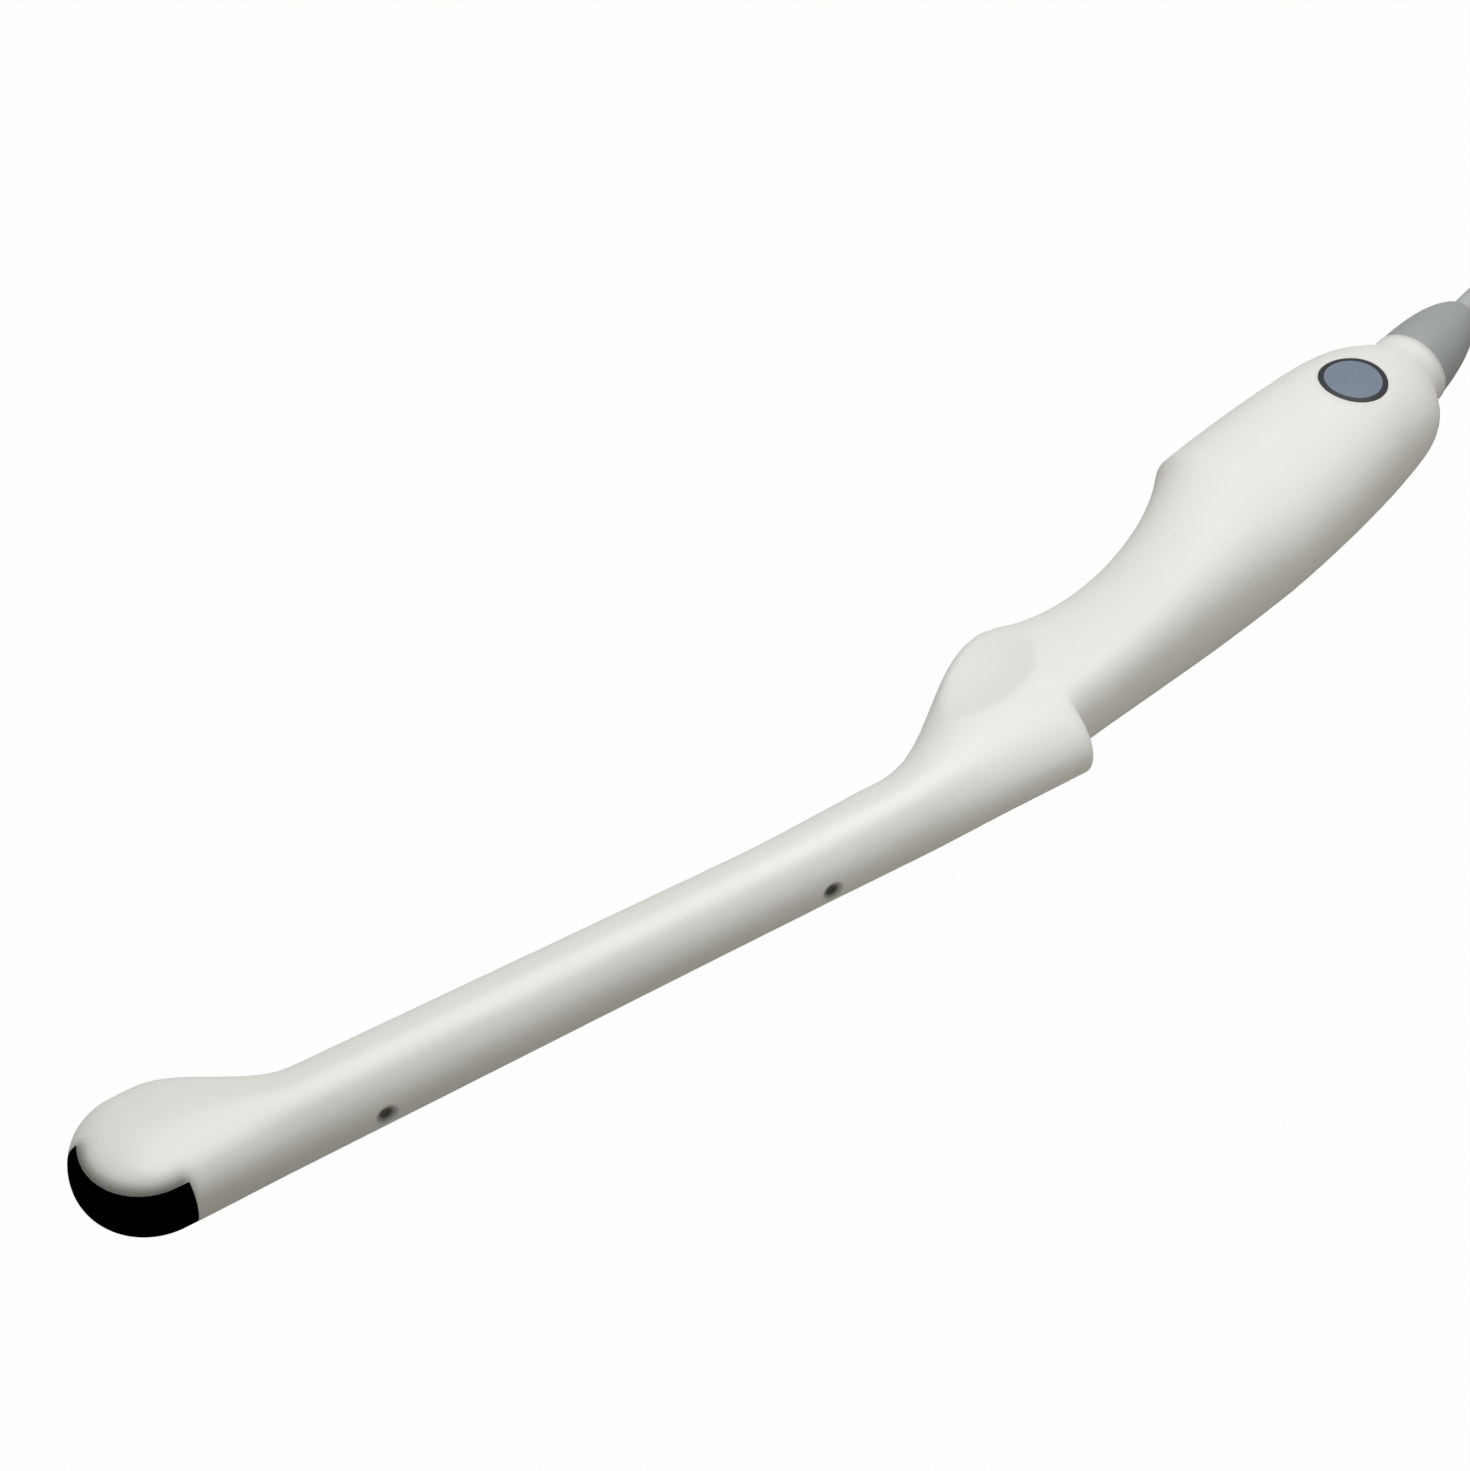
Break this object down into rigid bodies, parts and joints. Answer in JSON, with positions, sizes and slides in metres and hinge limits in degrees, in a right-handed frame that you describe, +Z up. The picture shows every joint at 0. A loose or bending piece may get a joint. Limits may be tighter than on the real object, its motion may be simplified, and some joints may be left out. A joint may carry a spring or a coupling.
{
  "type": "ultrasound transducer probe",
  "caption": "Slim endocavity ultrasound probe with a rounded black-lensed head, long shaft, finger groove and bent handle; cable wound up to a plug.",
  "frame": {"origin": "centre of the probe's footprint on the table it lies on, cable and plug left out", "axes": "+X along the shaft from the head to the handle, +Y towards the finger hump, +Z up from the table"},
  "size_m": [0.5293, 0.075, 0.0277],
  "materials": {
    "housing": "satin moulded off-white plastic",
    "lens": "smooth glossy black silicone",
    "inlay_ring": "satin charcoal",
    "inlay_disc": "satin muted blue",
    "matching_resin": "matte filled resin",
    "piezo_ceramic": "matte ceramic",
    "backing_rubber": "matte loaded rubber",
    "frame_metal": "bead blasted",
    "fibre_board": "matte glass-fibre sheet",
    "flex_film": "satin amber film",
    "shield_copper": "satin copper",
    "circuit_board": "satin green",
    "screw_steel": "satin",
    "can_steel": "satin tinned",
    "connector_plastic": "matte",
    "wire_bundle": "matte",
    "seal_rubber": "matte",
    "boot_rubber": "satin grey",
    "cable_jacket": "satin light grey",
    "tie_strap": "matte",
    "plug_plastic": "fine texture",
    "contact_metal": "gilt"
  },
  "bodies": {
    "root": {"housing_upper": "housing", "housing_lower": "housing", "acoustic_lens": "lens", "index_ring": "inlay_ring", "index_disc": "inlay_disc", "matching_layer_outer": "matching_resin", "matching_layer_inner": "matching_resin", "piezo_array": "piezo_ceramic", "backing_block": "backing_rubber", "array_frame": "frame_metal", "flex_stiffener": "fibre_board", "flex_circuit_upper": "flex_film", "flex_circuit_lower": "flex_film", "shield_sleeve": "shield_copper", "termination_board_upper": "circuit_board", "termination_board_lower": "circuit_board", "board_spacers": "screw_steel", "board_screws": "screw_steel", "board_nuts": "screw_steel", "shield_can_upper": "can_steel", "shield_can_lower": "can_steel", "coax_headers_upper": "connector_plastic", "coax_headers_lower": "connector_plastic", "coax_bundle": "wire_bundle", "cable_clamp_upper": "frame_metal", "cable_clamp_lower": "frame_metal", "clamp_screws": "screw_steel", "cable_inner_end": "cable_jacket", "boot_seal_ring": "seal_rubber", "strain_relief_boot": "boot_rubber", "cable": "cable_jacket", "cable_coil": "cable_jacket", "cable_ties": "tie_strap", "plug_shell_upper": "plug_plastic", "plug_shell_lower": "plug_plastic", "plug_screws": "screw_steel", "plug_boot": "boot_rubber", "plug_contact_block": "connector_plastic", "plug_contacts": "contact_metal"}
  },
  "joints": []
}
